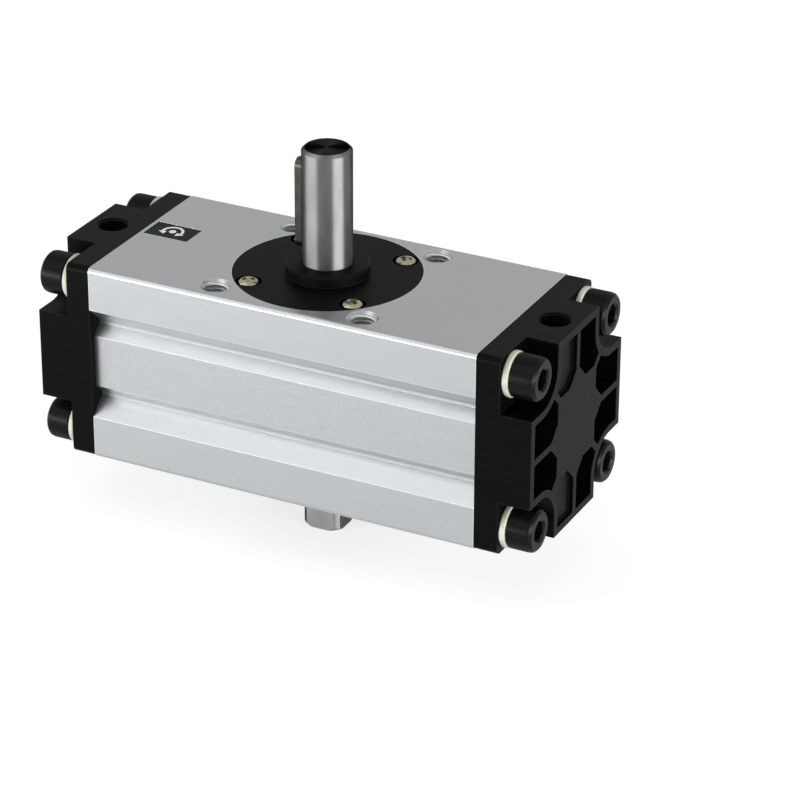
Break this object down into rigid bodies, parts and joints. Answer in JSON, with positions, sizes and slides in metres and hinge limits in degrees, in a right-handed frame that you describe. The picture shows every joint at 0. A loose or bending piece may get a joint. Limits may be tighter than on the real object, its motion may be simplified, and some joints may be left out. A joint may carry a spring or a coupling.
{
  "type": "rotary pneumatic actuator",
  "caption": "Rack-and-pinion rotary actuator: square grooved cylinder body, black end covers with air ports, and a keyed output shaft on top.",
  "frame": {"origin": "middle of the four mounting holes on the top face, on the output shaft's axis", "axes": "+Z out of the mounting face along the keyed shaft end, +X along the body to the right cover"},
  "size_m": [0.161, 0.062, 0.122],
  "materials": {
    "anodised_aluminium": "satin, clear anodised extrusion",
    "black_cast_aluminium": "black painted casting",
    "black_oxide_steel": "black oxide",
    "washer_nylon": "matte, ivory",
    "rubber": "matte",
    "black_anodised_aluminium": "black anodised",
    "yellow_zinc_steel": "yellow zinc plated steel",
    "bearing_steel": "polished",
    "brass": "machined",
    "ground_steel": "ground",
    "key_steel": "dark drawn steel",
    "rack_steel": "milled",
    "slider_resin": "matte, ivory",
    "piston_aluminium": "machined",
    "label_black": "printed film"
  },
  "bodies": {
    "housing": {"body": "anodised_aluminium", "left_cover": "black_cast_aluminium", "right_cover": "black_cast_aluminium", "left_cover_screws": "black_oxide_steel", "right_cover_screws": "black_oxide_steel", "left_seal_washers": "washer_nylon", "right_seal_washers": "washer_nylon", "left_cover_gasket": "rubber", "right_cover_gasket": "rubber", "top_retainer": "black_anodised_aluminium", "bottom_retainer": "black_anodised_aluminium", "top_retainer_screws": "yellow_zinc_steel", "bottom_retainer_screws": "yellow_zinc_steel", "top_retainer_gasket": "rubber", "bottom_retainer_gasket": "rubber", "top_shaft_seal": "rubber", "bottom_shaft_seal": "rubber", "top_outer_ring": "bearing_steel", "bottom_outer_ring": "bearing_steel", "symbol_label": "label_black"},
    "output_shaft": {"pinion_shaft": "ground_steel", "shaft_key": "key_steel", "top_inner_ring": "bearing_steel", "bottom_inner_ring": "bearing_steel"},
    "top_cage": {"top_bearing_balls": "bearing_steel", "top_bearing_cage": "brass"},
    "bottom_cage": {"bottom_bearing_balls": "bearing_steel", "bottom_bearing_cage": "brass"},
    "rack_assembly": {"rack": "rack_steel", "rack_slider": "slider_resin", "left_piston": "piston_aluminium", "right_piston": "piston_aluminium", "left_piston_seal": "rubber", "right_piston_seal": "rubber", "left_wear_ring": "slider_resin", "right_wear_ring": "slider_resin", "left_piston_screw": "black_oxide_steel", "right_piston_screw": "black_oxide_steel", "left_rack_pin": "bearing_steel", "right_rack_pin": "bearing_steel"}
  },
  "joints": [
    {"name": "shaft_turn", "type": "hinge", "parent": "housing", "child": "output_shaft", "pos_m": [0, 0, 0], "axis": [0, 0, 1], "range_deg": [-45, 45]},
    {"name": "rack_slide", "type": "slide", "parent": "housing", "child": "rack_assembly", "axis": [1, 0, 0], "range_m": [-0.00825, 0.00825]},
    {"name": "top_cage_turn", "type": "hinge", "parent": "housing", "child": "top_cage", "pos_m": [0, 0, -0.0105], "axis": [0, 0, 1], "range_deg": [-18, 18]},
    {"name": "bottom_cage_turn", "type": "hinge", "parent": "housing", "child": "bottom_cage", "pos_m": [0, 0, -0.0515], "axis": [0, 0, 1], "range_deg": [-18, 18]}
  ],
  "couplings": [
    {"joint": "shaft_turn", "follows": "rack_slide", "rad_per_m": 95.238},
    {"joint": "top_cage_turn", "follows": "rack_slide", "rad_per_m": 37.971},
    {"joint": "bottom_cage_turn", "follows": "rack_slide", "rad_per_m": 37.971}
  ]
}
